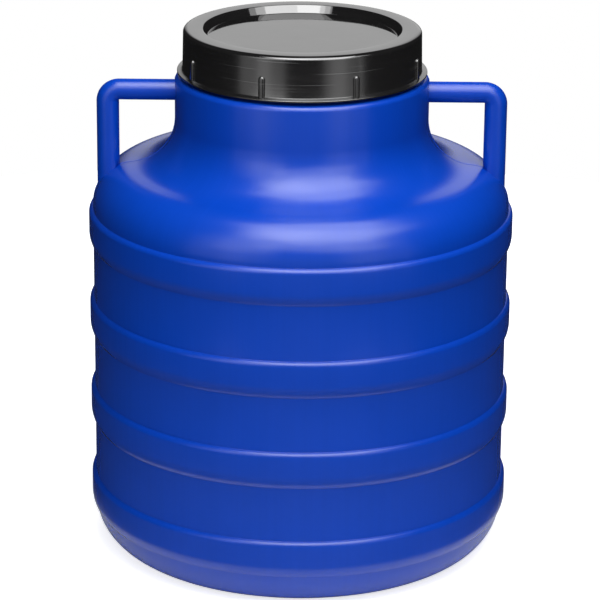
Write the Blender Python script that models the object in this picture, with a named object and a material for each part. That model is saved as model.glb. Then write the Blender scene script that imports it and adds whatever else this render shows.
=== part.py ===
# Wide-neck plastic food barrel of about 40 litres, with two side handles and a black screw lid.
# Metres, +Z up. The origin is on the barrel's axis, on the surface that it stands on.
# The handles lie in the XZ plane, which is also the parting plane of the blow mould.

import math

import bmesh
import bpy
from mathutils import Vector

# Barrel wall and hoop bands
BAND_RADIUS = 0.1900
BAND_PROUD = 0.0037
BAND_COUNT = 4
BAND_PITCH = 0.0830
BAND_FIRST_HEIGHT = 0.0455
BAND_FACE = 0.0170
BAND_UPPER_SLOPE = 0.0046
BAND_LOWER_SLOPE = 0.0117
WALL = 0.0030

# Base
BASE_CORNER_RADIUS = 0.0385
BASE_BAND_SLOPE = 0.0118
STANDING_RING_WIDTH = 0.0190
PUSH_UP_HEIGHT = 0.0080
PUSH_UP_RUN = 0.0100

# Shoulder and neck: an arc over the top band, a short straight slope and a sweep up to the neck
SHOULDER_RADIUS = 0.0373
SHOULDER_LIFT = 0.0058
SHOULDER_FLAT = 0.0060
SWEEP_RADIUS = 0.0424
NECK_RISE = 0.1192
NECK_EDGE_RADIUS = 0.0050

# Threaded neck and mouth
MOUTH_RADIUS = 0.0950
MOUTH_WALL = 0.0036
MOUTH_HEIGHT = 0.0356
LEDGE_WIDTH = 0.0140
RIM_EDGE = 0.0008

# Handles
HANDLE_LEG_INSET = 0.0139
HANDLE_LEG_WIDTH = 0.0197
HANDLE_ARM_DROP = 0.0152
HANDLE_ARM_THICKNESS = 0.0186
HANDLE_DEPTH = 0.0182
HANDLE_INNER_RADIUS = 0.0006
HANDLE_OVERRUN = 0.0080

# Gap between pieces that touch
SEAT_GAP = 0.0003

# Gasket
GASKET_THICKNESS = 0.0030
GASKET_EDGE = 0.0005
GASKET_BORE_CLEARANCE = 0.0006
GASKET_PLUG_CLEARANCE = 0.0019

# Screw lid
LID_DECK = 0.0028
LID_WALL = 0.0026
LID_SKIRT_WALL = 0.0036
LID_SKIRT_DRAFT = 0.0006
LID_THREAD_ROOM = 0.0038
LID_PLUG_CLEARANCE = 0.0044
LID_FOOT_CLEARANCE = 0.0030
LID_TOP_EDGE_RADIUS = 0.0036
LID_BEAD_PROUD = 0.0048
LID_BEAD_HEIGHT = 0.0016
LID_FLARE_HEIGHT = 0.0014
LID_RECESS_DRAFT = 0.0042
LID_RECESS_DEPTH = 0.0069
LID_RECESS_EDGE = 0.0012
GRIP_COUNT = 8
GRIP_PHASE_DEG = 26.0
GRIP_WIDTH = 0.0058
GRIP_HEIGHT = 0.0200
GRIP_PROUD = 0.0021
GRIP_EDGE = 0.0008
GRIP_ROOT = 0.0012

# Facets
BODY_SIDES = 48
LID_SIDES = 48
HANDLE_SIDES = 20
ARC_STEPS = 5
BEND_STEPS = 7
FILLET_STEPS = 2
NECK_EDGE_STEPS = 4
BAND_SLOPE_STEPS = 3
BARREL_SHARP_DEG = 28

# Finishes, as base colour, roughness and metallic value
BLUE_POLYETHYLENE = ((0.004, 0.035, 0.42, 1.0), 0.34, 0.0)
BLACK_POLYPROPYLENE = ((0.012, 0.012, 0.013, 1.0), 0.16, 0.0)
GREY_RUBBER = ((0.30, 0.30, 0.29, 1.0), 0.75, 0.0)

# Sizes that follow from the ones above
PANEL_RADIUS = BAND_RADIUS - BAND_PROUD
STANDING_RADIUS = PANEL_RADIUS - BASE_CORNER_RADIUS
TOP_BAND_EDGE = BAND_FIRST_HEIGHT + (BAND_COUNT - 1) * BAND_PITCH + BAND_FACE
SHOULDER_HEIGHT = TOP_BAND_EDGE + SHOULDER_LIFT
LEDGE_HEIGHT = SHOULDER_HEIGHT + NECK_RISE
RIM_HEIGHT = LEDGE_HEIGHT + MOUTH_HEIGHT
THREAD_ROOT_RADIUS = MOUTH_RADIUS + MOUTH_WALL
NECK_RADIUS = THREAD_ROOT_RADIUS + LEDGE_WIDTH
BASE_CENTRE = (STANDING_RADIUS, BASE_CORNER_RADIUS)
SHOULDER_CENTRE = (PANEL_RADIUS - SHOULDER_RADIUS, SHOULDER_HEIGHT)
SWEEP_RUN = NECK_RADIUS + SWEEP_RADIUS - SHOULDER_CENTRE[0]
SWEEP_RISE = math.sqrt((SHOULDER_RADIUS + SWEEP_RADIUS) ** 2 + SHOULDER_FLAT ** 2 - SWEEP_RUN ** 2)
SWEEP_CENTRE = (SHOULDER_CENTRE[0] + SWEEP_RUN, SHOULDER_CENTRE[1] + SWEEP_RISE)
SHOULDER_SLOPE_DEG = math.degrees(math.atan2(SWEEP_RUN, SWEEP_RISE)
                                  + math.atan2(SHOULDER_FLAT, SHOULDER_RADIUS + SWEEP_RADIUS))
HANDLE_LEG_DISTANCE = PANEL_RADIUS - HANDLE_LEG_INSET
HANDLE_ARM_HEIGHT = LEDGE_HEIGHT - HANDLE_ARM_DROP
GASKET_HEIGHT = RIM_HEIGHT + SEAT_GAP
LID_DECK_UNDERSIDE = GASKET_HEIGHT + GASKET_THICKNESS + SEAT_GAP
LID_TOP = LID_DECK_UNDERSIDE + LID_DECK
LID_FOOT = LEDGE_HEIGHT + LID_FOOT_CLEARANCE
LID_BORE_RADIUS = THREAD_ROOT_RADIUS + LID_THREAD_ROOM
LID_SKIRT_RADIUS = LID_BORE_RADIUS + LID_SKIRT_WALL
LID_BEAD_RADIUS = LID_SKIRT_RADIUS + LID_BEAD_PROUD
LID_PLUG_RADIUS = MOUTH_RADIUS - LID_PLUG_CLEARANCE
LID_RECESS_RADIUS = LID_PLUG_RADIUS - LID_WALL
LID_RECESS_FLOOR_RADIUS = LID_RECESS_RADIUS - LID_RECESS_DRAFT
GASKET_INNER_RADIUS = LID_PLUG_RADIUS + GASKET_PLUG_CLEARANCE
GASKET_OUTER_RADIUS = LID_BORE_RADIUS - GASKET_BORE_CLEARANCE


def clear_scene():
    for old in list(bpy.data.objects):
        bpy.data.objects.remove(old, do_unlink=True)


def finish(name, recipe):
    colour, roughness, metallic = recipe
    material = bpy.data.materials.new(name)
    material.use_nodes = True
    shader = material.node_tree.nodes["Principled BSDF"]
    shader.inputs["Base Color"].default_value = colour
    shader.inputs["Roughness"].default_value = roughness
    shader.inputs["Metallic"].default_value = metallic
    material.diffuse_color = colour
    return material


def add_object(name, mesh, recipe=None):
    piece = bpy.data.objects.new(name, mesh)
    bpy.context.scene.collection.objects.link(piece)
    if recipe:
        mesh.materials.append(finish(name, recipe))
    return piece


def arc(centre, radius, start_deg, end_deg, steps):
    """Points (r, z) round an arc; 0 degrees is straight out and 90 degrees is straight up."""
    points = []
    for i in range(steps + 1):
        angle = math.radians(start_deg + (end_deg - start_deg) * i / steps)
        points.append((centre[0] + radius * math.cos(angle), centre[1] + radius * math.sin(angle)))
    return points


def rounded(before, corner, after, radius, steps):
    """The corner of an outline, replaced by an arc that touches both of its sides."""
    here = Vector(corner)
    back = (Vector(before) - here).normalized()
    ahead = (Vector(after) - here).normalized()
    half_turn = (math.pi - back.angle(ahead)) / 2
    setback = radius * math.tan(half_turn)
    points = []
    for i in range(steps + 1):
        share = i / steps
        near = here + back * setback * (1 - share)
        far = here + ahead * setback * share
        points.append(tuple(near.lerp(far, share)))
    return points


def revolve(name, profile, sides):
    """A mesh turned from (r, z) points, which run up the outside when the loop is closed on itself.

    Points on the axis become poles. A profile with no point on the axis is joined end to start.
    """
    mesh = bmesh.new()
    rings = []
    for r, z in profile:
        if r > 0:
            ring = [mesh.verts.new((r * math.cos(turn), r * math.sin(turn), z))
                    for turn in (2 * math.pi * i / sides for i in range(sides))]
        else:
            ring = [mesh.verts.new((0, 0, z))] * sides
        rings.append(ring)
    pairs = list(zip(rings, rings[1:]))
    if all(r > 0 for r, z in profile):
        pairs.append((rings[-1], rings[0]))
    for lower, upper in pairs:
        for i in range(sides):
            j = (i + 1) % sides
            corners = []
            for vertex in (lower[i], lower[j], upper[j], upper[i]):
                if vertex not in corners:
                    corners.append(vertex)
            mesh.faces.new(corners)
    bmesh.ops.recalc_face_normals(mesh, faces=mesh.faces)
    data = bpy.data.meshes.new(name)
    mesh.to_mesh(data)
    mesh.free()
    return data


def shade(mesh, sharp_deg=38):
    mesh.shade_smooth()
    mesh.set_sharp_from_angle(angle=math.radians(sharp_deg))


def band_slope(face_end, crease, steps):
    """The bulged slope of a band: an arc that leaves its upright face smoothly and ends at the crease."""
    depth = face_end[0] - crease[0]
    height = crease[1] - face_end[1]
    turn = 2 * math.atan2(depth, abs(height))
    radius = height / math.sin(turn)
    points = []
    for i in range(steps + 1):
        angle = turn * i / steps
        points.append((face_end[0] - abs(radius) * (1 - math.cos(angle)),
                       face_end[1] + radius * math.sin(angle)))
    return points


def reach_at(height, centre, radius):
    """How far out an arc round the (r, z) centre is at a height."""
    return centre[0] + math.sqrt(radius ** 2 - (height - centre[1]) ** 2)


def band_outline(index, offset, slope_steps):
    """One hoop band from its lower crease to its upper crease, offset outwards from the real face.

    The lowest band starts on the base's corner, and the top one ends on the shoulder.
    """
    foot = BAND_FIRST_HEIGHT + index * BAND_PITCH
    top = foot + BAND_FACE
    face = BAND_RADIUS + offset
    lower_crease = (PANEL_RADIUS + offset, foot - BAND_LOWER_SLOPE)
    upper_crease = (PANEL_RADIUS + offset, top + BAND_UPPER_SLOPE)
    if index == 0:
        height = foot - BASE_BAND_SLOPE
        lower_crease = (reach_at(height, BASE_CENTRE, BASE_CORNER_RADIUS + offset), height)
    if index == BAND_COUNT - 1:
        height = top + BAND_UPPER_SLOPE
        upper_crease = (reach_at(height, SHOULDER_CENTRE, SHOULDER_RADIUS + offset), height)
    return (band_slope((face, foot), lower_crease, slope_steps)[::-1]
            + band_slope((face, top), upper_crease, slope_steps))


def skin(offset, slope_steps=BAND_SLOPE_STEPS):
    """The barrel's outside from the middle of the base to the edge of the neck, offset outwards."""
    ring_edge = STANDING_RADIUS - STANDING_RING_WIDTH
    points = [(0, PUSH_UP_HEIGHT - offset), (ring_edge - PUSH_UP_RUN, PUSH_UP_HEIGHT - offset),
              (ring_edge, -offset)]
    corner = BASE_CORNER_RADIUS + offset
    drop = BASE_CORNER_RADIUS - (BAND_FIRST_HEIGHT - BASE_BAND_SLOPE)
    points += arc(BASE_CENTRE, corner, -90, -math.degrees(math.asin(drop / corner)), ARC_STEPS)[:-1]
    for index in range(BAND_COUNT):
        points += band_outline(index, offset, slope_steps)
    shoulder = SHOULDER_RADIUS + offset
    start = math.degrees(math.asin((points[-1][1] - SHOULDER_HEIGHT) / shoulder))
    points += arc(SHOULDER_CENTRE, shoulder, start, 90 - SHOULDER_SLOPE_DEG, ARC_STEPS)[1:]
    points += arc(SWEEP_CENTRE, SWEEP_RADIUS - offset, 270 - SHOULDER_SLOPE_DEG, 180, ARC_STEPS)
    edge = (NECK_RADIUS - NECK_EDGE_RADIUS, LEDGE_HEIGHT - NECK_EDGE_RADIUS)
    points += arc(edge, NECK_EDGE_RADIUS + offset, 0, 90, NECK_EDGE_STEPS)
    return points


def barrel_body():
    """Blow-moulded shell: one wall from the pushed-up base to the rim of the threaded neck."""
    outside = skin(0)
    neck = [(THREAD_ROOT_RADIUS, LEDGE_HEIGHT), (THREAD_ROOT_RADIUS, RIM_HEIGHT - RIM_EDGE),
            (THREAD_ROOT_RADIUS - RIM_EDGE, RIM_HEIGHT), (MOUTH_RADIUS + RIM_EDGE, RIM_HEIGHT),
            (MOUTH_RADIUS, RIM_HEIGHT - RIM_EDGE), (MOUTH_RADIUS, LEDGE_HEIGHT - WALL)]
    inside = skin(-WALL, slope_steps=1)[::-1]
    mesh = revolve("barrel_body", outside + neck + inside, BODY_SIDES)
    shade(mesh, BARREL_SHARP_DEG)
    return add_object("barrel_body", mesh, BLUE_POLYETHYLENE)


def skin_cutter():
    """The barrel's outside as a closed solid, grown by the gap that touching pieces keep."""
    outline = skin(SEAT_GAP) + [(0, LEDGE_HEIGHT + SEAT_GAP)]
    cutter = add_object("skin_cutter", revolve("skin_cutter", outline, BODY_SIDES))
    cutter.hide_render = True
    cutter.display_type = "WIRE"
    return cutter


def handle_path():
    """Centre points of a handle in the XZ plane with the direction and half width at each."""
    bend = HANDLE_LEG_WIDTH / 2 + HANDLE_INNER_RADIUS
    middle = (HANDLE_LEG_DISTANCE - bend, HANDLE_ARM_HEIGHT - bend)
    stations = [(NECK_RADIUS - HANDLE_OVERRUN, HANDLE_ARM_HEIGHT, 90, HANDLE_ARM_THICKNESS / 2)]
    for i in range(BEND_STEPS + 1):
        share = i / BEND_STEPS
        angle = math.radians(90 * (1 - share))
        half = (HANDLE_ARM_THICKNESS + (HANDLE_LEG_WIDTH - HANDLE_ARM_THICKNESS) * share) / 2
        stations.append((middle[0] + bend * math.cos(angle), middle[1] + bend * math.sin(angle),
                         90 * (1 - share), half))
    stations.append((HANDLE_LEG_DISTANCE, SHOULDER_HEIGHT - HANDLE_OVERRUN, 0, HANDLE_LEG_WIDTH / 2))
    return stations


def handle(name, side, cutter):
    """Round bail from the neck to the shoulder, with a nearly sharp inner corner."""
    mesh = bmesh.new()
    rings = []
    for x, z, outward_deg, half in handle_path():
        outward = math.radians(outward_deg)
        ring = []
        for i in range(HANDLE_SIDES):
            turn = 2 * math.pi * i / HANDLE_SIDES
            reach = half * math.cos(turn)
            ring.append(mesh.verts.new((side * (x + reach * math.cos(outward)),
                                        HANDLE_DEPTH / 2 * math.sin(turn),
                                        z + reach * math.sin(outward))))
        rings.append(ring)
    for lower, upper in zip(rings, rings[1:]):
        for i in range(HANDLE_SIDES):
            j = (i + 1) % HANDLE_SIDES
            mesh.faces.new((lower[i], lower[j], upper[j], upper[i]))
    mesh.faces.new(rings[0])
    mesh.faces.new(rings[-1])
    bmesh.ops.recalc_face_normals(mesh, faces=mesh.faces)
    data = bpy.data.meshes.new(name)
    mesh.to_mesh(data)
    mesh.free()
    shade(data)
    piece = add_object(name, data, BLUE_POLYETHYLENE)
    fit = piece.modifiers.new("fit_to_barrel", "BOOLEAN")
    fit.operation = "DIFFERENCE"
    fit.object = cutter
    return piece


def lid_gasket():
    """Flat rubber ring under the lid's deck, pressed on the rim of the neck."""
    low, high = GASKET_HEIGHT, GASKET_HEIGHT + GASKET_THICKNESS
    section = [(GASKET_INNER_RADIUS, low + GASKET_EDGE), (GASKET_INNER_RADIUS + GASKET_EDGE, low),
               (GASKET_OUTER_RADIUS - GASKET_EDGE, low), (GASKET_OUTER_RADIUS, low + GASKET_EDGE),
               (GASKET_OUTER_RADIUS, high - GASKET_EDGE), (GASKET_OUTER_RADIUS - GASKET_EDGE, high),
               (GASKET_INNER_RADIUS + GASKET_EDGE, high), (GASKET_INNER_RADIUS, high - GASKET_EDGE)]
    mesh = revolve("lid_gasket", section, LID_SIDES)
    shade(mesh)
    return add_object("lid_gasket", mesh, GREY_RUBBER)


def lid_profile():
    """Half section of the lid, from the middle of its sunk floor over the rim and back inside."""
    floor = LID_TOP - LID_RECESS_DEPTH
    wall_foot = (LID_RECESS_FLOOR_RADIUS, floor)
    wall_head = (LID_RECESS_RADIUS, LID_TOP)
    flare_head = LID_FOOT + LID_BEAD_HEIGHT + LID_FLARE_HEIGHT
    bead_head = LID_FOOT + LID_BEAD_HEIGHT
    skirt_top = LID_SKIRT_RADIUS - LID_SKIRT_DRAFT
    outside = [(0, floor)]
    outside += rounded((0, floor), wall_foot, wall_head, LID_RECESS_EDGE, FILLET_STEPS)
    outside += rounded(wall_foot, wall_head, (skirt_top, LID_TOP), LID_RECESS_EDGE, FILLET_STEPS)
    outside += arc((skirt_top - LID_TOP_EDGE_RADIUS, LID_TOP - LID_TOP_EDGE_RADIUS),
                   LID_TOP_EDGE_RADIUS, 90, 0, FILLET_STEPS + 1)
    outside += [(LID_SKIRT_RADIUS, flare_head)]
    flare_reach = LID_BEAD_RADIUS - LID_SKIRT_RADIUS
    for i in range(1, FILLET_STEPS + 2):
        share = i / (FILLET_STEPS + 1)
        outside.append((LID_SKIRT_RADIUS + flare_reach * share ** 2,
                        flare_head - LID_FLARE_HEIGHT * share))
    bead_edge = (LID_BEAD_RADIUS, LID_FOOT)
    outside += rounded((LID_BEAD_RADIUS, bead_head), bead_edge, (LID_BORE_RADIUS, LID_FOOT),
                       GRIP_EDGE, FILLET_STEPS)
    inside = [(LID_BORE_RADIUS, LID_FOOT), (LID_BORE_RADIUS, LID_DECK_UNDERSIDE),
              (LID_PLUG_RADIUS, LID_DECK_UNDERSIDE), (LID_PLUG_RADIUS - LID_RECESS_DRAFT, floor - LID_WALL),
              (0, floor - LID_WALL)]
    return outside + inside


def grip_bars():
    """The eight upright grips, as bars with arched tops that start inside the skirt."""
    mesh = bmesh.new()
    foot = LID_FOOT + GRIP_EDGE
    half = GRIP_WIDTH / 2
    arch = arc((0, foot + GRIP_HEIGHT - half), half, 0, 180, 2 * FILLET_STEPS)
    outline = [(half, foot)] + arch + [(-half, foot)]
    depths = [(LID_SKIRT_RADIUS - GRIP_ROOT, 0), (LID_SKIRT_RADIUS + GRIP_PROUD - GRIP_EDGE, 0),
              (LID_SKIRT_RADIUS + GRIP_PROUD, GRIP_EDGE)]
    for index in range(GRIP_COUNT):
        facing = math.radians(GRIP_PHASE_DEG + 360 * index / GRIP_COUNT - 90)
        out = Vector((math.cos(facing), math.sin(facing), 0))
        across = Vector((-math.sin(facing), math.cos(facing), 0))
        rings = []
        for depth, inset in depths:
            shrink = (half - inset) / half
            ring = []
            for u, z in outline:
                centre_z = foot + GRIP_HEIGHT - half
                height = centre_z + (z - centre_z) * shrink if z > centre_z else z
                ring.append(mesh.verts.new(out * depth + across * u * shrink + Vector((0, 0, height))))
            rings.append(ring)
        for lower, upper in zip(rings, rings[1:]):
            for i in range(len(outline)):
                j = (i + 1) % len(outline)
                mesh.faces.new((lower[i], lower[j], upper[j], upper[i]))
        mesh.faces.new(rings[0])
        mesh.faces.new(rings[-1])
    bmesh.ops.recalc_face_normals(mesh, faces=mesh.faces)
    data = bpy.data.meshes.new("grip_bars")
    mesh.to_mesh(data)
    mesh.free()
    bars = add_object("grip_bars", data)
    bars.hide_render = True
    bars.display_type = "WIRE"
    return bars


def screw_lid():
    """Injection-moulded cap: sunk floor, flat rim, skirt with grips and a bead round its foot."""
    mesh = revolve("screw_lid", lid_profile(), LID_SIDES)
    shade(mesh)
    lid = add_object("screw_lid", mesh, BLACK_POLYPROPYLENE)
    grips = lid.modifiers.new("grips", "BOOLEAN")
    grips.operation = "UNION"
    grips.object = grip_bars()
    return lid


def main():
    clear_scene()
    barrel_body()
    cutter = skin_cutter()
    handle("left_handle", -1, cutter)
    handle("right_handle", 1, cutter)
    lid_gasket()
    screw_lid()


main()
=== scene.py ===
import math

import bmesh
import bpy
from mathutils import Matrix, Quaternion, Vector


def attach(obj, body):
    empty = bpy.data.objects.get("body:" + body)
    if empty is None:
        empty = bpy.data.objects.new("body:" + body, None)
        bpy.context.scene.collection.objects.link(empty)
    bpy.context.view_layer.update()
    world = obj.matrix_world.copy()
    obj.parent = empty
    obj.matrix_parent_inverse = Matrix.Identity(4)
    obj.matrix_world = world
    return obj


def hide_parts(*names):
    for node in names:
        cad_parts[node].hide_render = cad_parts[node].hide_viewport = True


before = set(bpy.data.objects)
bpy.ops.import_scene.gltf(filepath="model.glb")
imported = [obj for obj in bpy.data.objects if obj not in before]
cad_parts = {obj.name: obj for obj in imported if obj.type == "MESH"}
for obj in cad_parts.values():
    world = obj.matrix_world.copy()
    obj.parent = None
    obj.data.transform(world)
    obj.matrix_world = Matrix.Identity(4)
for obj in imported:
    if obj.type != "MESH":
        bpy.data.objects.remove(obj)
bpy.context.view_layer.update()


# Barrel shell. Blow-moulded high-density polyethylene, one wall of 3 mm from the pushed-up base to
# the rim of the neck, with four hoop bands. It is blown in a two-part mould that parts in the XZ plane.
BAND_RADIUS = 0.1900
PANEL_RADIUS = 0.1863
BAND_FEET = (0.0455, 0.1285, 0.2115, 0.2945)
BAND_FACE = 0.0170
UPPER_SLOPE = 0.0046
LOWER_SLOPE = 0.0117
WALL = 0.0030
BASE_CORNER = 0.0385
BASE_SLOPE = 0.0118
STANDING_RING = 0.0190
PUSH_UP = 0.0080
PUSH_UP_RUN = 0.0100
SHOULDER = (0.1490, 0.3173, 0.0373)
SWEEP = (0.1550, 0.3970, 0.0424)
SHOULDER_SLOPE_DEG = 8.61
NECK_RADIUS = 0.1126
LEDGE_HEIGHT = 0.4365
NECK_EDGE = 0.0050
THREAD_ROOT = 0.0986
MOUTH_RADIUS = 0.0950
RIM_HEIGHT = 0.4721
CREASE_RADIUS = 0.0016
SHELL_SIDES = 256
OUTSIDE_FINENESS = 5
INSIDE_FINENESS = 2
CORNER_STEPS = 3
SLOPE_STEPS = 2
SHOULDER_STEPS = 6
NECK_EDGE_STEPS = 2
EASE_LEAST_TURN_DEG = 18.0
EASE_STEPS = 3
EASE_MOST_OF_SIDE = 0.45
SMOOTH_BELOW_DEG = 24.0
MERGE_DISTANCE = 0.000002
TINY = 0.000001


class Wire:
    """A node tree's socket that can stand in a sum, and adds the Math nodes of that sum."""

    def __init__(self, tree, socket=None):
        self.tree = tree
        self.socket = socket

    def add(self, kind, settings=None, sockets=None, output=0):
        """One more node: its settings first, then the values or links of its sockets."""
        node = self.tree.nodes.new(kind)
        for name, value in (settings or {}).items():
            setattr(node, name, value)
        for name, value in (sockets or {}).items():
            if isinstance(value, Wire):
                self.tree.links.new(value.socket, node.inputs[name])
            else:
                node.inputs[name].default_value = value
        return Wire(self.tree, node.outputs[output])

    def out(self, name):
        """Another output of the node that this socket belongs to."""
        return Wire(self.tree, self.socket.node.outputs[name])

    def math(self, operation, *others):
        """A Math node of this value and of any others that the operation takes."""
        return self.add("ShaderNodeMath", {"operation": operation}, dict(enumerate((self,) + others)))

    def __add__(self, other):
        return self.math("ADD", other)

    def __sub__(self, other):
        return self.math("SUBTRACT", other)

    def __rsub__(self, other):
        return self.add("ShaderNodeMath", {"operation": "SUBTRACT"}, {0: other, 1: self})

    def __mul__(self, other):
        return self.math("MULTIPLY", other)

    def __truediv__(self, other):
        return self.math("DIVIDE", other)

    def between(self, low, high):
        """0 where this value is at low or less, 1 where it is at high or more, smooth between."""
        return self.add("ShaderNodeMapRange", {"interpolation_type": "SMOOTHSTEP"},
                        {"Value": self, "From Min": low, "From Max": high})


def set_out(name, data):
    """A new object in the scene, at the origin."""
    thing = bpy.data.objects.new(name, data)
    bpy.context.scene.collection.objects.link(thing)
    return thing


def shape_tree(name, inputs):
    """An empty Geometry Nodes tree with named inputs, and a wire for each of them."""
    tree = bpy.data.node_groups.new(name, "GeometryNodeTree")
    tree.interface.new_socket("Geometry", in_out="OUTPUT", socket_type="NodeSocketGeometry")
    tree.interface.new_socket("Geometry", in_out="INPUT", socket_type="NodeSocketGeometry")
    for label, kind in inputs:
        tree.interface.new_socket(label, in_out="INPUT", socket_type=kind)
    start = Wire(tree).add("NodeGroupInput", output="Geometry")
    return tree, {label: start.out(label) for label in ["Geometry"] + [label for label, kind in inputs]}


def end_tree(wire, finish):
    """The last nodes of each tree: real meshes only, with the piece's finish on them."""
    real = wire.add("GeometryNodeRealizeInstances", None, {"Geometry": wire})
    done = real.add("GeometryNodeSetMaterial", None, {"Geometry": real, "Material": finish})
    end = done.tree.nodes.new("NodeGroupOutput")
    done.tree.links.new(done.socket, end.inputs["Geometry"])


def turned_tree():
    """Turns a section of (r, z) points about the axis: a full turn is a ring, more is a thread."""
    tree, given = shape_tree("turned_shape", [
        ("Steps", "NodeSocketInt"), ("Turns", "NodeSocketFloat"), ("Pitch", "NodeSocketFloat"),
        ("Start Height", "NodeSocketFloat"), ("Fade", "NodeSocketFloat"), ("Root", "NodeSocketFloat"),
        ("Finish", "NodeSocketMaterial")])
    section = given["Geometry"]
    count = section.add("GeometryNodeAttributeDomainSize", {"component": "MESH"},
                        {"Geometry": section}, "Point Count")
    grid = section.add("GeometryNodeMeshGrid", None, {
        "Size X": 1.0, "Size Y": 1.0, "Vertices X": given["Steps"] + 1, "Vertices Y": count}, "Mesh")
    place = grid.add("ShaderNodeSeparateXYZ", None, {"Vector": grid.add("GeometryNodeInputPosition")})
    along = place + 0.5
    row = ((place.out("Y") + 0.5) * (count - 1)).math("ROUND")
    point = section.add("GeometryNodeSampleIndex", {"data_type": "FLOAT_VECTOR"}, {
        "Geometry": section, "Value": section.add("GeometryNodeInputPosition"), "Index": row})
    point = point.add("ShaderNodeSeparateXYZ", None, {"Vector": point})
    nearest_end = along.math("MINIMUM", 1 - along)
    fullness = ((nearest_end + TINY) / (given["Fade"] + TINY)).between(0.0, 1.0)
    reach = given["Root"] + (point - given["Root"]) * fullness
    angle = along * given["Turns"] * math.tau
    height = point.out("Z") * fullness + given["Start Height"] + along * given["Turns"] * given["Pitch"]
    moved = grid.add("ShaderNodeCombineXYZ", None, {
        "X": reach * angle.math("COSINE"), "Y": reach * angle.math("SINE"), "Z": height})
    shaped = grid.add("GeometryNodeSetPosition", None, {"Geometry": grid, "Position": moved})
    joined = shaped.add("GeometryNodeMergeByDistance", None,
                        {"Geometry": shaped, "Distance": MERGE_DISTANCE})
    end_tree(joined, given["Finish"])
    return tree


def grown(tree, name, start_mesh, smooth_below_deg=SMOOTH_BELOW_DEG, **inputs):
    """The plain mesh that a tree makes of a starting mesh, as an object at the origin."""
    piece = set_out(name, start_mesh)
    modifier = piece.modifiers.new(tree.name, "NODES")
    modifier.node_group = tree
    for item in tree.interface.items_tree:
        if item.in_out == "INPUT" and item.name.replace(" ", "_") in inputs:
            modifier[item.identifier] = inputs[item.name.replace(" ", "_")]
    graph = bpy.context.evaluated_depsgraph_get()
    plain = bpy.data.meshes.new_from_object(piece.evaluated_get(graph))
    piece.modifiers.remove(modifier)
    piece.data = plain
    plain.name = name
    plain.shade_smooth()
    plain.set_sharp_from_angle(angle=math.radians(smooth_below_deg))
    return piece


TURNED = turned_tree()


def turned(name, section, finish, steps=SHELL_SIDES, turns=1.0, pitch=0.0, start=0.0, fade=0.0, root=0.0):
    """A ring, shell or thread with a section of (r, z) points that run up its outside."""
    line = bpy.data.meshes.new(name + "_section")
    line.from_pydata([(r, 0.0, z) for r, z in section],
                     [(i, i + 1) for i in range(len(section) - 1)], [])
    return grown(TURNED, name, line, Steps=steps, Turns=turns, Pitch=pitch, Start_Height=start,
                 Fade=fade, Root=root, Finish=finish)


def arc(centre, radius, start_deg, end_deg, steps):
    """Points (r, z) round an arc; 0 degrees is straight out and 90 degrees is straight up."""
    turns = [math.radians(start_deg + (end_deg - start_deg) * i / steps) for i in range(steps + 1)]
    return [(centre[0] + radius * math.cos(turn), centre[1] + radius * math.sin(turn)) for turn in turns]


def eased(points, radius, steps=EASE_STEPS):
    """A line of points with each sharp corner replaced by a small arc."""
    soft = [points[0]]
    for before, corner, after in zip(points, points[1:], points[2:]):
        here = Vector(corner)
        back, ahead = Vector(before) - here, Vector(after) - here
        turn = math.pi - back.angle(ahead)
        if turn < math.radians(EASE_LEAST_TURN_DEG):
            soft.append(corner)
            continue
        setback = min(radius * math.tan(turn / 2), EASE_MOST_OF_SIDE * back.length,
                      EASE_MOST_OF_SIDE * ahead.length)
        near, far = here + back.normalized() * setback, here + ahead.normalized() * setback
        for i in range(steps + 1):
            share = i / steps
            soft.append(tuple(near.lerp(here, share).lerp(here.lerp(far, share), share)))
    return soft + [points[-1]]


def band_slope(face_end, crease, steps):
    """The bulged slope of a band, from its upright face to the crease beside it."""
    depth, height = face_end[0] - crease[0], crease[1] - face_end[1]
    turn = 2 * math.atan2(depth, abs(height))
    radius = height / math.sin(turn)
    bends = [turn * i / steps for i in range(steps + 1)]
    return [(face_end[0] - abs(radius) * (1 - math.cos(bend)), face_end[1] + radius * math.sin(bend))
            for bend in bends]


def reach_at(height, centre, radius):
    """How far out an arc of this centre and radius is at a height."""
    return centre[0] + math.sqrt(radius ** 2 - (height - centre[1]) ** 2)


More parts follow.
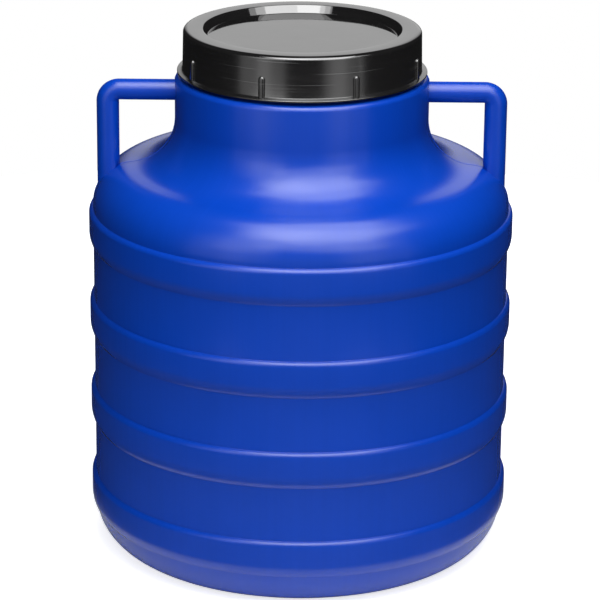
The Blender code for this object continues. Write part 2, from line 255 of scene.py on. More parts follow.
def skin(offset, fineness):
    """The outside from the middle of the base to the edge of the neck, moved outwards by offset."""
    base_centre = (PANEL_RADIUS - BASE_CORNER, BASE_CORNER)
    ring_edge = base_centre[0] - STANDING_RING
    corner = BASE_CORNER + offset
    start = -math.degrees(math.asin((BASE_CORNER - BAND_FEET[0] + BASE_SLOPE) / corner))
    points = [(0.0, PUSH_UP - offset), (ring_edge - PUSH_UP_RUN, PUSH_UP - offset), (ring_edge, -offset)]
    points += arc(base_centre, corner, -90, start, CORNER_STEPS * fineness)[:-1]
    for foot in BAND_FEET:
        top = foot + BAND_FACE
        low = (PANEL_RADIUS + offset, foot - LOWER_SLOPE)
        high = (PANEL_RADIUS + offset, top + UPPER_SLOPE)
        if foot == BAND_FEET[0]:
            low = (reach_at(foot - BASE_SLOPE, base_centre, corner), foot - BASE_SLOPE)
        if foot == BAND_FEET[-1]:
            high = (reach_at(high[1], SHOULDER, SHOULDER[2] + offset), high[1])
        points += band_slope((BAND_RADIUS + offset, foot), low, SLOPE_STEPS * fineness)[::-1]
        points += band_slope((BAND_RADIUS + offset, top), high, SLOPE_STEPS * fineness)
    start = math.degrees(math.asin((points[-1][1] - SHOULDER[1]) / (SHOULDER[2] + offset)))
    steps = SHOULDER_STEPS * fineness
    points += arc(SHOULDER, SHOULDER[2] + offset, start, 90 - SHOULDER_SLOPE_DEG, steps)[1:]
    points += arc(SWEEP, SWEEP[2] - offset, 270 - SHOULDER_SLOPE_DEG, 180, steps)
    edge = (NECK_RADIUS - NECK_EDGE, LEDGE_HEIGHT - NECK_EDGE)
    return points + arc(edge, NECK_EDGE + offset, 0, 90, NECK_EDGE_STEPS * fineness)


def shell_section():
    """The closed section of the wall: up its outside, over the rim and down its inside."""
    mouth = [(THREAD_ROOT, LEDGE_HEIGHT), (THREAD_ROOT, RIM_HEIGHT), (MOUTH_RADIUS, RIM_HEIGHT),
             (MOUTH_RADIUS, LEDGE_HEIGHT - WALL)]
    inside = skin(-WALL, INSIDE_FINENESS)[::-1]
    return eased(skin(0.0, OUTSIDE_FINENESS) + mouth + inside, CREASE_RADIUS)


# The blue is through-coloured polyethylene, which the mould leaves half glossy. Drawn lines run down
# the wall from the die that it was blown from, over a fine peel and slow waves of the surface.
BLUE = (0.0008, 0.0440, 0.4050, 1.0)
BLUE_DEEP = (0.0007, 0.0410, 0.3750, 1.0)
BLUE_GLOSS = (0.240, 0.268)
BLUE_IOR = 1.54
DIE_LINE_PITCH = 0.0022
DIE_LINE_STRETCH = 0.006
DIE_LINE_HEIGHT = 0.000006
DIE_LINE_DETAIL = 1.0
DIE_LINE_RANGE = (0.25, 0.75)
DIE_LINE_SHARE = 0.5
PEEL_SIZE = 0.0022
PEEL_HEIGHT = 0.000012
PEEL_DETAIL = 2.0
WAVE_SIZE = 0.050
WAVE_HEIGHT = 0.00022
WAVE_DETAIL = 1.5
WAVE_ROUGHNESS = 0.4
WAVE_RANGE = (0.1, 0.9)
NOISE_ROUGHNESS = 0.5
MIX_FIRST, MIX_SECOND, MIX_RESULT = 6, 7, 2


def new_finish(name):
    """A material with nodes, and a wire from its object coordinates."""
    material = bpy.data.materials.new(name)
    material.use_nodes = True
    return material, Wire(material.node_tree).add("ShaderNodeTexCoord", output="Object")


def noise(spot, scale, detail, roughness=NOISE_ROUGHNESS):
    """Soft noise from 0 to 1, with as many lumps in a metre as its scale."""
    return spot.add("ShaderNodeTexNoise", None,
                    {"Vector": spot, "Scale": scale, "Detail": detail, "Roughness": roughness})


def mixed(share, first, second):
    """The first colour where the share is 0, and the second where it is 1."""
    return share.add("ShaderNodeMix", {"data_type": "RGBA"},
                     {"Factor": share, MIX_FIRST: first, MIX_SECOND: second}, MIX_RESULT)


def finished(material, colour, gloss, surface, ior=None):
    """Wires a colour, a roughness and a surface's heights in metres to the material's shader."""
    shader = material.node_tree.nodes["Principled BSDF"]
    bump = surface.add("ShaderNodeBump", None, {"Strength": 1.0, "Distance": 1.0, "Height": surface})
    for socket, wire in (("Base Color", colour), ("Roughness", gloss), ("Normal", bump)):
        material.node_tree.links.new(wire.socket, shader.inputs[socket])
    if ior:
        shader.inputs["IOR"].default_value = ior
    return material


def blue_polyethylene(name, drawn_lines=True, peel_height=PEEL_HEIGHT):
    """Half-gloss blue plastic. The drawn lines run down the wall and are left off the handles."""
    material, spot = new_finish(name)
    waves = noise(spot, 1 / WAVE_SIZE, WAVE_DETAIL, WAVE_ROUGHNESS)
    surface = waves * WAVE_HEIGHT + noise(spot, 1 / PEEL_SIZE, PEEL_DETAIL) * peel_height
    mottle = waves.between(*WAVE_RANGE)
    if drawn_lines:
        parts = spot.add("ShaderNodeSeparateXYZ", None, {"Vector": spot})
        flat = spot.add("ShaderNodeCombineXYZ", None, {"X": parts, "Y": parts.out("Y"), "Z": 0.0})
        heading = spot.add("ShaderNodeVectorMath", {"operation": "NORMALIZE"}, {0: flat}, "Vector")
        heading = spot.add("ShaderNodeSeparateXYZ", None, {"Vector": heading})
        around = spot.add("ShaderNodeCombineXYZ", None, {
            "X": heading * NECK_RADIUS, "Y": heading.out("Y") * NECK_RADIUS,
            "Z": parts.out("Z") * DIE_LINE_STRETCH})
        lines = noise(around, 1 / DIE_LINE_PITCH, DIE_LINE_DETAIL)
        surface = surface + lines * DIE_LINE_HEIGHT
        mottle = mottle * (1 - DIE_LINE_SHARE) + lines.between(*DIE_LINE_RANGE) * DIE_LINE_SHARE
    gloss = mottle * (BLUE_GLOSS[1] - BLUE_GLOSS[0]) + BLUE_GLOSS[0]
    return finished(material, mixed(mottle, BLUE_DEEP, BLUE), gloss, surface, BLUE_IOR)


SHELL_BLUE = blue_polyethylene("shell_blue")
shell = turned("barrel_shell", shell_section(), SHELL_BLUE)
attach(shell, "barrel")
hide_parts("barrel_body")


# Parting line. The two halves of the mould leave a hair-fine ridge of the same plastic down both
# sides, from the neck to the base, and a thicker weld across the base where the tube was pinched.
FLASH_WIDTH = 0.0009
FLASH_PROUD = 0.00032
FLASH_SUNK = 0.0006
FLASH_FLANK = (0.5, 0.8)
FLASH_FOOT = 0.0040
WELD_WIDTH = 0.0022
WELD_PROUD = 0.0008
WELD_HALF_STEPS = 8


def tube_mesh(name, mesh, rings):
    """The mesh of a closed tube through rings of vertices, with a cap on each end."""
    for low, high in zip(rings, rings[1:]):
        for i in range(len(low)):
            j = (i + 1) % len(low)
            mesh.faces.new((low[i], low[j], high[j], high[i]))
    mesh.faces.new(rings[0])
    mesh.faces.new(rings[-1])
    bmesh.ops.recalc_face_normals(mesh, faces=mesh.faces)
    data = bpy.data.meshes.new(name)
    mesh.to_mesh(data)
    mesh.free()
    return data


def ridge(name, path, width, proud):
    """A fine ridge along a path of (x, z) points in the parting plane, set into the wall."""
    mesh = bmesh.new()
    rings = []
    flank, flank_height = FLASH_FLANK
    for i, point in enumerate(path):
        ahead = Vector(path[min(i + 1, len(path) - 1)]) - Vector(path[max(i - 1, 0)])
        out = Vector((ahead.y, -ahead.x)).normalized()
        stands = min(proud, BAND_RADIUS - FLASH_PROUD - abs(point[0]))
        rings.append([])
        for side, height in ((-1, -FLASH_SUNK), (-flank, stands * flank_height), (0, stands),
                             (flank, stands * flank_height), (1, -FLASH_SUNK)):
            x, z = Vector(point) + out * height
            rings[-1].append(mesh.verts.new((x, side * width / 2, z)))
    data = tube_mesh(name, mesh, rings)
    data.shade_smooth()
    data.materials.append(SHELL_BLUE)
    piece = set_out(name, data)
    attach(piece, "barrel")


outline = [(r, z) for r, z in skin(0.0, OUTSIDE_FINENESS)
           if z > FLASH_FOOT and (r > SWEEP[0] or z > BASE_CORNER)]
for side, label in ((1, "right"), (-1, "left")):
    run = [(side * r, z) for r, z in outline][::side]
    ridge(label + "_parting_line", run, FLASH_WIDTH, FLASH_PROUD)
weld_end = PANEL_RADIUS - BASE_CORNER - STANDING_RING - PUSH_UP_RUN
weld = [(x * weld_end / WELD_HALF_STEPS, PUSH_UP) for x in range(-WELD_HALF_STEPS, WELD_HALF_STEPS + 1)]
ridge("base_weld", weld, WELD_WIDTH, WELD_PROUD)


# Neck thread. One ridge of the same plastic, a turn and a half round the neck, which the ridge
# inside the lid rides on. It shows when the lid is off.
THREAD_PITCH = 0.0120
THREAD_TURNS = 1.5
THREAD_FADE = 0.06
THREAD_STEPS = 288
THREAD_SUNK = 0.0006
THREAD_ROOT_WIDTH = 0.0042
THREAD_CREST_WIDTH = 0.0018
THREAD_EDGE = 0.0005
NECK_CREST = 0.1010
NECK_THREAD_START = 0.4465


def thread(name, root, crest, start, finish):
    """A thread ridge that rises from a root inside the wall to its crest, and fades at both ends."""
    low = [(root, -THREAD_ROOT_WIDTH / 2), (crest, -THREAD_CREST_WIDTH / 2)]
    high = [(crest, THREAD_CREST_WIDTH / 2), (root, THREAD_ROOT_WIDTH / 2)]
    loop = low + high if crest > root else low[::-1] + high[::-1]
    section = eased(loop + [loop[0]], THREAD_EDGE)
    return turned(name, section, finish, THREAD_STEPS, THREAD_TURNS, THREAD_PITCH, start, THREAD_FADE, root)


neck_thread = thread("neck_thread", THREAD_ROOT - THREAD_SUNK, NECK_CREST, NECK_THREAD_START, SHELL_BLUE)
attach(neck_thread, "barrel")


# Handles. Two solid round bails of the same polyethylene, pinched in one with the shell by the
# mould: an arm out of the neck, a tight elbow and a leg down into the shoulder.
HANDLE_DISTANCE = 0.1724
HANDLE_ARM_HEIGHT = 0.4213
ARM_THICKNESS = 0.0186
LEG_WIDTH = 0.0197
HANDLE_DEPTH = 0.0182
ELBOW_INNER = 0.0006
ELBOW_STEPS = 24
ARM_STEPS = 10
LEG_STEPS = 12
HANDLE_SIDES = 48
HANDLE_SUNK = 0.0016
HANDLE_FLASH_WIDTH = 0.0007
HANDLE_FLASH_PROUD = 0.00022
HANDLE_PEEL_HEIGHT = 0.000035
HANDLE_SMOOTH_BELOW_DEG = 60.0


def handle_ring():
    """Unit section of a handle as (across, depth) shares and the ridge that stands off it."""
    ring = []
    for i in range(HANDLE_SIDES):
        turn = math.tau * i / HANDLE_SIDES
        if i % (HANDLE_SIDES // 2):
            ring.append((math.cos(turn), math.sin(turn), 0.0))
        else:
            step = HANDLE_FLASH_WIDTH / HANDLE_DEPTH * math.cos(turn)
            ring += [(math.cos(turn), -step, 0.0), (math.cos(turn), 0.0, HANDLE_FLASH_PROUD),
                     (math.cos(turn), step, 0.0)]
    return ring


def handle_stations():
    """Where a handle's sections stand: (x, z), the heading of their outer side, and half their size."""
    bend = LEG_WIDTH / 2 + ELBOW_INNER
    middle = Vector((HANDLE_DISTANCE - bend, HANDLE_ARM_HEIGHT - bend))
    stations = [((NECK_RADIUS, HANDLE_ARM_HEIGHT), 90, ARM_THICKNESS / 2)]
    for i in range(1, ARM_STEPS):
        x = NECK_RADIUS + (middle.x - NECK_RADIUS) * i / ARM_STEPS
        stations.append(((x, HANDLE_ARM_HEIGHT), 90, ARM_THICKNESS / 2))
    for i in range(ELBOW_STEPS + 1):
        share = i / ELBOW_STEPS
        turn = math.radians(90 * (1 - share))
        half = (ARM_THICKNESS + (LEG_WIDTH - ARM_THICKNESS) * share) / 2
        stations.append(((middle.x + bend * math.cos(turn), middle.y + bend * math.sin(turn)),
                         90 * (1 - share), half))
    foot = SHOULDER[1] + SHOULDER[2]
    for i in range(1, LEG_STEPS + 1):
        stations.append(((HANDLE_DISTANCE, middle.y + (foot - middle.y) * i / LEG_STEPS), 0, LEG_WIDTH / 2))
    return stations


def handle(side, label, finish):
    """One handle, with its ends shaped to lie just inside the neck and the shoulder."""
    mesh = bmesh.new()
    rings = []
    stations = handle_stations()
    for number, ((x, z), outward_deg, half) in enumerate(stations):
        outward = math.radians(outward_deg)
        rings.append([])
        for across, depth, stands in handle_ring():
            reach = half * across + math.copysign(stands, across)
            spot = Vector((x + reach * math.cos(outward), HANDLE_DEPTH / 2 * depth,
                           z + reach * math.sin(outward)))
            if number == 0:
                spot.x = math.sqrt((NECK_RADIUS - HANDLE_SUNK) ** 2 - spot.y ** 2)
            if number == len(stations) - 1:
                out = math.hypot(spot.x, spot.y) - SHOULDER[0]
                spot.z = SHOULDER[1] + math.sqrt((SHOULDER[2] - HANDLE_SUNK) ** 2 - out ** 2)
            rings[-1].append(mesh.verts.new((side * spot.x, spot.y, spot.z)))
    data = tube_mesh(label + "_handle_bail", mesh, rings)
    data.shade_smooth()
    data.set_sharp_from_angle(angle=math.radians(HANDLE_SMOOTH_BELOW_DEG))
    data.materials.append(finish)
    piece = set_out(label + "_handle_bail", data)
    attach(piece, "barrel")
    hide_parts(label + "_handle")


HANDLE_BLUE = blue_polyethylene("handle_blue", False, HANDLE_PEEL_HEIGHT)
handle(-1, "left", HANDLE_BLUE)
handle(1, "right", HANDLE_BLUE)


# Gasket. A flat ring of grey food-grade rubber, cut or moulded with slightly round edges. It lies
# loose under the lid's deck, where the lid presses it on the rim of the neck.
GASKET_INNER = 0.0925
GASKET_OUTER = 0.1018
GASKET_LOW = 0.4724
GASKET_HIGH = 0.4754
GASKET_EDGE = 0.0005
GASKET_SIDES = 192
GASKET_GREY = (0.30, 0.30, 0.29, 1.0)
GASKET_GREY_DARK = (0.24, 0.24, 0.235, 1.0)
RUBBER_GRAIN_SCALE = 900.0
RUBBER_GRAIN_DETAIL = 3.0
RUBBER_GRAIN_ROUGHNESS = 0.6
RUBBER_GRAIN_HEIGHT = 0.00003
RUBBER_CLOUD_SCALE = 60.0
RUBBER_CLOUD_DETAIL = 2.0
RUBBER_CLOUD_RANGE = (0.3, 0.7)
RUBBER_GLOSS = 0.7
RUBBER_GLOSS_SPREAD = 0.1


def grey_rubber():
    """Dull grey rubber with a fine grain and soft clouds of a darker grey."""
    material, spot = new_finish("gasket_rubber")
    grain = noise(spot, RUBBER_GRAIN_SCALE, RUBBER_GRAIN_DETAIL, RUBBER_GRAIN_ROUGHNESS)
    clouds = noise(spot, RUBBER_CLOUD_SCALE, RUBBER_CLOUD_DETAIL)
    colour = mixed(clouds.between(*RUBBER_CLOUD_RANGE), GASKET_GREY_DARK, GASKET_GREY)
    gloss = clouds * RUBBER_GLOSS_SPREAD + RUBBER_GLOSS
    return finished(material, colour, gloss, grain * RUBBER_GRAIN_HEIGHT)


gasket_loop = [(GASKET_OUTER, GASKET_LOW), (GASKET_OUTER, GASKET_HIGH), (GASKET_INNER, GASKET_HIGH),
               (GASKET_INNER, GASKET_LOW)]
gasket_start = ((GASKET_INNER + GASKET_OUTER) / 2, GASKET_LOW)
gasket_section = eased([gasket_start] + gasket_loop + [gasket_start], GASKET_EDGE)
gasket = turned("gasket_ring", gasket_section, grey_rubber(), GASKET_SIDES)
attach(gasket, "seal")
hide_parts("lid_gasket")


# Screw lid. Injection-moulded black polypropylene: a sunk floor, a flat rim, an upright skirt and a
# bead that flares out round its foot. The top is polished and the skirt is duller, with fine lines
# and a few scuffs round it. The floor's plug centres the lid in the mouth.
LID_TOP = 0.4785
LID_FOOT = 0.4395
SKIRT_TOP = 0.1054
SKIRT_FOOT = 0.1060
BEAD_RADIUS = 0.1108
BEAD_HEIGHT = 0.0016
FLARE_HEIGHT = 0.0014
FLARE_STEPS = 8
TOP_EDGE = 0.0027
TOP_EDGE_STEPS = 8
TOP_ROLL = 0.0080
TOP_ROLL_DEG = 30.0
TOP_ROLL_STEPS = 6
RECESS_HEAD = 0.0880
RECESS_FOOT = 0.0838
RECESS_DEPTH = 0.0069
RECESS_EDGE = 0.0012
RECESS_EDGE_STEPS = 5
RECESS_LEAD_IN = 0.008
RECESS_LEAD_OUT = 0.02
BORE = 0.1024
PLUG = 0.0906
DECK_UNDERSIDE = 0.4757
FLOOR_UNDERSIDE = 0.4690
LID_EDGE = 0.0007
LID_SIDES = 256
LID_BLACK = (0.0062, 0.0060, 0.0062, 1.0)
LID_BLACK_WORN = (0.0095, 0.0092, 0.0092, 1.0)
LID_SCUFF = (0.05, 0.05, 0.05, 1.0)
LID_IOR = 2.10
LID_GLOSS = (0.04, 0.07)
SKIRT_DULLER = 0.15
SKIRT_FROM = (0.1046, 0.1053)
POLISH_STRETCH = 0.035
POLISH_SCALE = 900.0
POLISH_DETAIL = 3.0
POLISH_ROUGHNESS = 0.6
POLISH_HEIGHT = 0.000014
POLISH_WORN_RANGE = (0.45, 0.8)
POLISH_GLOSS_RANGE = (0.35, 0.75)
SINK_SCALE = 28.0
SINK_DETAIL = 1.0
SINK_HEIGHT = 0.00012
DUST_SCALE = 1400.0
DUST_DETAIL = 2.0
DUST_HEIGHT = 0.000002
SCUFF_STRETCH = 0.012
SCUFF_SCALE = 1100.0
SCUFF_DETAIL = 0.0
SCUFF_RANGE = (0.74, 0.80)


def lid_section():
    """Half section of the lid from the middle of its underside, up its outside, to its sunk floor."""
    floor = LID_TOP - RECESS_DEPTH
    taper = RECESS_HEAD - RECESS_FOOT
    bead_head = LID_FOOT + BEAD_HEIGHT
    inside = [(0.0, FLOOR_UNDERSIDE), (PLUG - taper, FLOOR_UNDERSIDE), (PLUG, DECK_UNDERSIDE),
              (BORE, DECK_UNDERSIDE), (BORE, LID_FOOT)]
    flare = []
    for i in range(FLARE_STEPS + 1):
        share = i / FLARE_STEPS
        flare.append((SKIRT_FOOT + (BEAD_RADIUS - SKIRT_FOOT) * (1 - share) ** 2,
                      bead_head + FLARE_HEIGHT * share))
    steep = math.radians(90 - TOP_ROLL_DEG)
    fall = (TOP_ROLL - TOP_EDGE) * (1 - math.sin(steep)) + TOP_EDGE
    edge = (SKIRT_TOP - TOP_EDGE, LID_TOP - fall)
    roll = (edge[0] - (TOP_ROLL - TOP_EDGE) * math.cos(steep), LID_TOP - TOP_ROLL)
    rim = arc(edge, TOP_EDGE, 0, 90 - TOP_ROLL_DEG, TOP_EDGE_STEPS)
    rim += arc(roll, TOP_ROLL, 90 - TOP_ROLL_DEG, 90, TOP_ROLL_STEPS)[1:]
    lower = eased(inside + [(BEAD_RADIUS, LID_FOOT)] + flare, LID_EDGE)
    recess = eased([(RECESS_HEAD + RECESS_LEAD_IN, LID_TOP), (RECESS_HEAD, LID_TOP), (RECESS_FOOT, floor),
                    (RECESS_FOOT - RECESS_LEAD_OUT, floor)], RECESS_EDGE, RECESS_EDGE_STEPS)
    return lower + rim + recess + [(0.0, floor)]


def black_polypropylene():
    """Black plastic, polished on top, with fine lines and scuffs that run round the skirt."""
    material, spot = new_finish("lid_black")
    parts = spot.add("ShaderNodeSeparateXYZ", None, {"Vector": spot})

    def round_the_lid(stretch):
        """Coordinates in which a pattern is drawn out along the level directions."""
        return spot.add("ShaderNodeCombineXYZ", None, {
            "X": parts * stretch, "Y": parts.out("Y") * stretch, "Z": parts.out("Z")})

    polish = noise(round_the_lid(POLISH_STRETCH), POLISH_SCALE, POLISH_DETAIL, POLISH_ROUGHNESS)
    scuffs = noise(round_the_lid(SCUFF_STRETCH), SCUFF_SCALE, SCUFF_DETAIL)
    sinks = noise(spot, SINK_SCALE, SINK_DETAIL)
    dust = noise(spot, DUST_SCALE, DUST_DETAIL)
    flat = spot.add("ShaderNodeCombineXYZ", None, {"X": parts, "Y": parts.out("Y"), "Z": 0.0})
    distance = spot.add("ShaderNodeVectorMath", {"operation": "LENGTH"}, {0: flat}, "Value")
    skirt = distance.between(*SKIRT_FROM)
    surface = polish * skirt * POLISH_HEIGHT + sinks * SINK_HEIGHT + dust * DUST_HEIGHT
    colour = mixed(polish.between(*POLISH_WORN_RANGE), LID_BLACK, LID_BLACK_WORN)
    colour = mixed(scuffs.between(*SCUFF_RANGE) * skirt, colour, LID_SCUFF)
    gloss = polish.between(*POLISH_GLOSS_RANGE) * (LID_GLOSS[1] - LID_GLOSS[0]) + LID_GLOSS[0]
    return finished(material, colour, gloss + skirt * SKIRT_DULLER, surface, LID_IOR)


LID_FINISH = black_polypropylene()
lid = turned("lid_cap", lid_section(), LID_FINISH, LID_SIDES)
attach(lid, "lid")
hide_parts("screw_lid")


# Lid thread. The ridge inside the skirt, moulded in one with the lid. It runs under the neck's ridge
# and draws the lid down on the gasket.
LID_CREST = 0.0996
LID_THREAD_DROP = 0.0036

lid_thread = thread("lid_thread", BORE + THREAD_SUNK, LID_CREST, NECK_THREAD_START - LID_THREAD_DROP,
                    LID_FINISH)
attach(lid_thread, "lid")


# Grips. Eight upright ribs round the skirt, moulded with the lid, with round heads and round sides.
# They run down into the bead and give wet hands a hold.
GRIP_COUNT = 8
GRIP_PHASE_DEG = 26.0
GRIP_WIDTH = 0.0058
GRIP_HEIGHT = 0.0200
GRIP_PROUD = 0.0021
GRIP_ROUND = 0.0019
GRIP_ROOT = 0.0012
GRIP_FOOT_RAISED = 0.0008
GRIP_HEAD_STEPS = 20
GRIP_SIDE_STEPS = 6
GRIP_SMOOTH_BELOW_DEG = 30.0


def grip_blank():
    """One grip that faces -Y, with its head and its sides rounded over."""
    foot = LID_FOOT + GRIP_FOOT_RAISED
    half = GRIP_WIDTH / 2
    middle = foot + GRIP_HEIGHT - half
    shape = [(half, foot)] + arc((0.0, middle), half, 0, 180, GRIP_HEAD_STEPS) + [(-half, foot)]
    levels = [(-GRIP_ROOT, 0.0)]
    for i in range(GRIP_SIDE_STEPS + 1):
        turn = math.radians(90 * i / GRIP_SIDE_STEPS)
        levels.append((GRIP_PROUD * math.sin(turn), GRIP_ROUND * (1 - math.cos(turn))))
    mesh = bmesh.new()
    rings = []
    for depth, inset in levels:
        shrink = (half - inset) / half
        rings.append([])
        for u, z in shape:
            height = middle + (z - middle) * shrink if z > middle else z
            rings[-1].append(mesh.verts.new((u * shrink, -SKIRT_FOOT - depth, height)))
    return tube_mesh("grip_blank", mesh, rings)


def ring_of_grips():
    """Sets copies of a grip at even steps round the lid's axis."""
    tree, given = shape_tree("ring_of_grips", [
        ("Count", "NodeSocketInt"), ("Phase", "NodeSocketFloat"), ("Finish", "NodeSocketMaterial")])
    blank = given["Geometry"]
    spots = blank.add("GeometryNodePoints", None, {"Count": given["Count"]})
    number = blank.add("GeometryNodeInputIndex")
    turn = number * math.tau / given["Count"] + given["Phase"]
    heading = blank.add("ShaderNodeCombineXYZ", None, {"X": 0.0, "Y": 0.0, "Z": turn})
    placed = blank.add("GeometryNodeInstanceOnPoints", None, {
        "Points": spots, "Instance": blank, "Rotation": heading})
    end_tree(placed, given["Finish"])
    return tree


grips = grown(ring_of_grips(), "lid_grips", grip_blank(), GRIP_SMOOTH_BELOW_DEG, Count=GRIP_COUNT,
              Phase=math.radians(GRIP_PHASE_DEG), Finish=LID_FINISH)
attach(grips, "lid")


# Floor. A plain table top that the barrel stands on. To the camera it is as white as the room behind
# it, apart from the barrel's own soft shadow. It throws light back up from near by, and gloss finds it
# pale only round the barrel's foot.
FLOOR_RADIUS = 1.20
FLOOR_SIDES = 128
FLOOR_DROP = 0.0004
FLOOR_COLOUR = 0.86
FLOOR_DARK = 0.03
FLOOR_ROUGHNESS = 0.9
FLOOR_BRIGHT_TO = (0.45, 0.70)
FLOOR_MIRRORED_TO = (0.216, 0.254)
FLOOR_LIFT = 0.74
FLOOR_LIFT_FAR = 1.0
FLOOR_FAR = (0.36, 0.70)


def mirroring_rays(rays):
    """1 for the rays by which gloss and glass see the room, and 0 for all others."""
    return rays.out("Is Glossy Ray").math("MAXIMUM", rays.out("Is Transmission Ray"))


disc = bmesh.new()
bmesh.ops.create_circle(disc, cap_ends=True, cap_tris=True, segments=FLOOR_SIDES, radius=FLOOR_RADIUS)
bmesh.ops.translate(disc, verts=disc.verts, vec=(0.0, 0.0, -FLOOR_DROP))
floor_mesh = bpy.data.meshes.new("floor_disc")
disc.to_mesh(floor_mesh)
disc.free()
floor = set_out("floor_disc", floor_mesh)
floor_paint, spot = new_finish("floor_white")
floor_shader = floor_paint.node_tree.nodes["Principled BSDF"]
floor_shader.inputs["Roughness"].default_value = FLOOR_ROUGHNESS
floor_shader.inputs["Specular IOR Level"].default_value = 0.0
floor_shader.inputs["Emission Strength"].default_value = 1.0
distance = spot.add("ShaderNodeVectorMath", {"operation": "LENGTH"}, {0: spot}, "Value")
rays = spot.add("ShaderNodeLightPath", output="Is Camera Ray")
mirroring = mirroring_rays(rays)
bright = 1 - distance.between(*FLOOR_BRIGHT_TO)
mirrored = 1 - distance.between(*FLOOR_MIRRORED_TO)
pale = rays + (1 - rays) * (mirroring * mirrored + (1 - mirroring) * bright)
paint = pale * (FLOOR_COLOUR - FLOOR_DARK) + FLOOR_DARK
lift = (distance.between(*FLOOR_FAR) * (FLOOR_LIFT_FAR - FLOOR_LIFT) + FLOOR_LIFT) * rays
for socket, wire in (("Base Color", paint), ("Emission Color", lift)):
    floor_paint.node_tree.links.new(wire.socket, floor_shader.inputs[socket])
floor_mesh.materials.append(floor_paint)


# Room. White to the camera. Gloss finds a white board upright behind the barrel, which the flat top
# of the lid mirrors, and a dark studio on its other sides. Plain light finds the dark studio alone.
ROOM_BOARD = 0.98
ROOM_DIM = 0.015
ROOM_WHITE = (1.0, 1.0, 1.0, 1.0)
BOARD_SIDES = (0.945, 0.996)
BOARD_TURN_DEG = 3.0
BOARD_FOOT = (-0.02, 0.06)
BOARD_HEAD = (0.42, 0.58)
LEAST_LEVEL = 0.0001

world = bpy.data.worlds.new("studio")
bpy.context.scene.world = world
world.use_nodes = True
room = world.node_tree
spot = Wire(room).add("ShaderNodeTexCoord", output="Generated")
parts = spot.add("ShaderNodeSeparateXYZ", None, {"Vector": spot})
level = (parts * parts + parts.out("Y") * parts.out("Y")).math("SQRT")
board_turn = math.radians(BOARD_TURN_DEG)
towards = parts.out("Y") * math.cos(board_turn) + parts * math.sin(board_turn)
behind = (towards / (level + LEAST_LEVEL)).between(*BOARD_SIDES)
board = behind * parts.out("Z").between(*BOARD_FOOT) * (1 - parts.out("Z").between(*BOARD_HEAD))
rays = spot.add("ShaderNodeLightPath", output="Is Camera Ray")
glow = rays + (1 - rays) * (mirroring_rays(rays) * board * (ROOM_BOARD - ROOM_DIM) + ROOM_DIM)
room.links.new(glow.socket, room.nodes["Background"].inputs["Strength"])
room.nodes["Background"].inputs["Color"].default_value = ROOM_WHITE


# Lamps. Large soft boxes over the barrel, with the front ones hung lower and to the right, upright
# ones at the front corners that are weaker near the floor, and a low one in front that gives plain
# light and isn't mirrored.
OVERHEAD_AIM = (0.0, -0.15, 0.36)
LOW_AIM = (0.0, 0.0, 0.20)


def soft_box(name, place, size, radiance, aim=None, turn_deg=0.0, mirrored=True):
    """A rectangular lamp that faces its aim, or else the barrel's axis at its own height."""
    lamp = bpy.data.lights.new(name, "AREA")
    lamp.shape = "RECTANGLE"
    lamp.size, lamp.size_y = size
    lamp.energy = radiance * math.pi * size[0] * size[1]
    box = set_out(name, lamp)
    box.location = place
    facing = (Vector(aim or (0.0, 0.0, place[2])) - Vector(place)).to_track_quat("-Z", "Y")
    box.rotation_euler = (facing @ Quaternion((0.0, 0.0, 1.0), math.radians(turn_deg))).to_euler()
    box.visible_camera = False
    box.visible_glossy = mirrored


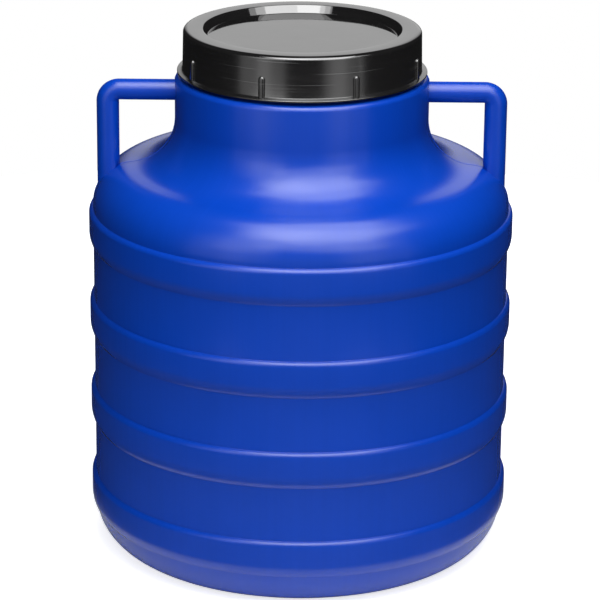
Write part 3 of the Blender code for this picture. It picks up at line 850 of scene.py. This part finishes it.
soft_box("top_wide", (0.21, -0.54, 1.75), (1.74, 1.53), 1.45, OVERHEAD_AIM, 30.0)
soft_box("top_middle", (0.16, -0.46, 1.44), (1.01, 1.33), 2.55, OVERHEAD_AIM, -11.0)
soft_box("top_left", (-0.17, -0.69, 1.78), (0.66, 0.99), 1.40, OVERHEAD_AIM, -4.0)
soft_box("top_front", (0.23, -0.76, 1.72), (1.96, 0.75), 1.55, OVERHEAD_AIM, -13.0)
soft_box("low_front", (0.04, -1.37, 1.18), (1.29, 0.53), 1.95, OVERHEAD_AIM, -13.0)
soft_box("left_wide", (-0.77, -1.02, 0.95), (1.01, 1.67), 0.42)
soft_box("left_narrow", (-0.85, -1.23, 0.80), (0.33, 1.60), 0.38)
soft_box("left_high", (-0.62, -1.09, 1.19), (0.72, 1.15), 1.00)
soft_box("right_wide", (0.78, -1.11, 0.78), (0.74, 1.46), 0.38)
soft_box("right_narrow", (0.83, -1.25, 0.65), (0.37, 1.26), 0.34)
soft_box("right_high", (0.83, -1.19, 1.21), (0.61, 0.82), 1.65)
soft_box("right_pane", (1.16, -0.82, 0.72), (0.09, 1.44), 0.75)
soft_box("low_fill", (0.05, -1.25, 0.24), (0.80, 0.46), 1.50, LOW_AIM, mirrored=False)


# Camera. A long lens from the front and a little above, where the ellipses of the lid, the bands and
# the base all come out as the photograph has them.
CAMERA_PLACE = (0.0, -2.6087, 1.1172)
CAMERA_PITCH_DEG = 18.88
CAMERA_ROLL_DEG = -0.55
CAMERA_LENS = 182.2
CAMERA_SENSOR = 36.0
CAMERA_CLIP = (0.05, 50.0)

lens = bpy.data.cameras.new("camera")
lens.lens = CAMERA_LENS
lens.sensor_width = CAMERA_SENSOR
lens.clip_start, lens.clip_end = CAMERA_CLIP
camera = set_out("camera", lens)
pitch, roll = math.radians(CAMERA_PITCH_DEG), math.radians(CAMERA_ROLL_DEG)
ahead = Vector((0.0, math.cos(pitch), -math.sin(pitch)))
right, down = Vector((1.0, 0.0, 0.0)), Vector((0.0, -math.sin(pitch), -math.cos(pitch)))
across = math.cos(roll) * right + math.sin(roll) * down
below = -math.sin(roll) * right + math.cos(roll) * down
turn = Matrix((across, -below, -ahead)).transposed().to_4x4()
camera.matrix_world = Matrix.Translation(CAMERA_PLACE) @ turn
bpy.context.scene.camera = camera
bpy.context.scene.view_settings.view_transform = "Standard"
